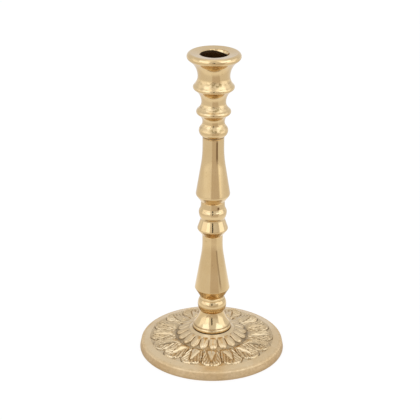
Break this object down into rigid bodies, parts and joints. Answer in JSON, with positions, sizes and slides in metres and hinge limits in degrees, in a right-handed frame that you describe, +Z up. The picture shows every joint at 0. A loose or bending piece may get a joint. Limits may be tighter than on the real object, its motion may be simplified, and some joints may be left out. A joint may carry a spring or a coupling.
{
  "type": "altar candlestick",
  "caption": "Turned brass altar candlestick with a flared candle socket, ringed stem of stacked balusters and a round base with a leaf rosette.",
  "frame": {"origin": "centre of the base's underside, on the surface it stands on", "axes": "+Z up along the stem; -Y towards the viewer of the picture, with a leaf of the rosette on it"},
  "size_m": [0.1216, 0.1216, 0.26],
  "materials": {
    "brass": "polished",
    "cast_brass": "polished border, satin relief",
    "steel": "zinc plated"
  },
  "bodies": {
    "root": {"base": "cast_brass", "foot": "brass", "lower_baluster": "brass", "knop": "brass", "upper_baluster": "brass", "candle_socket": "brass", "tie_rod": "steel", "base_washer": "steel", "spring_washer": "steel", "base_nut": "steel"}
  },
  "joints": []
}
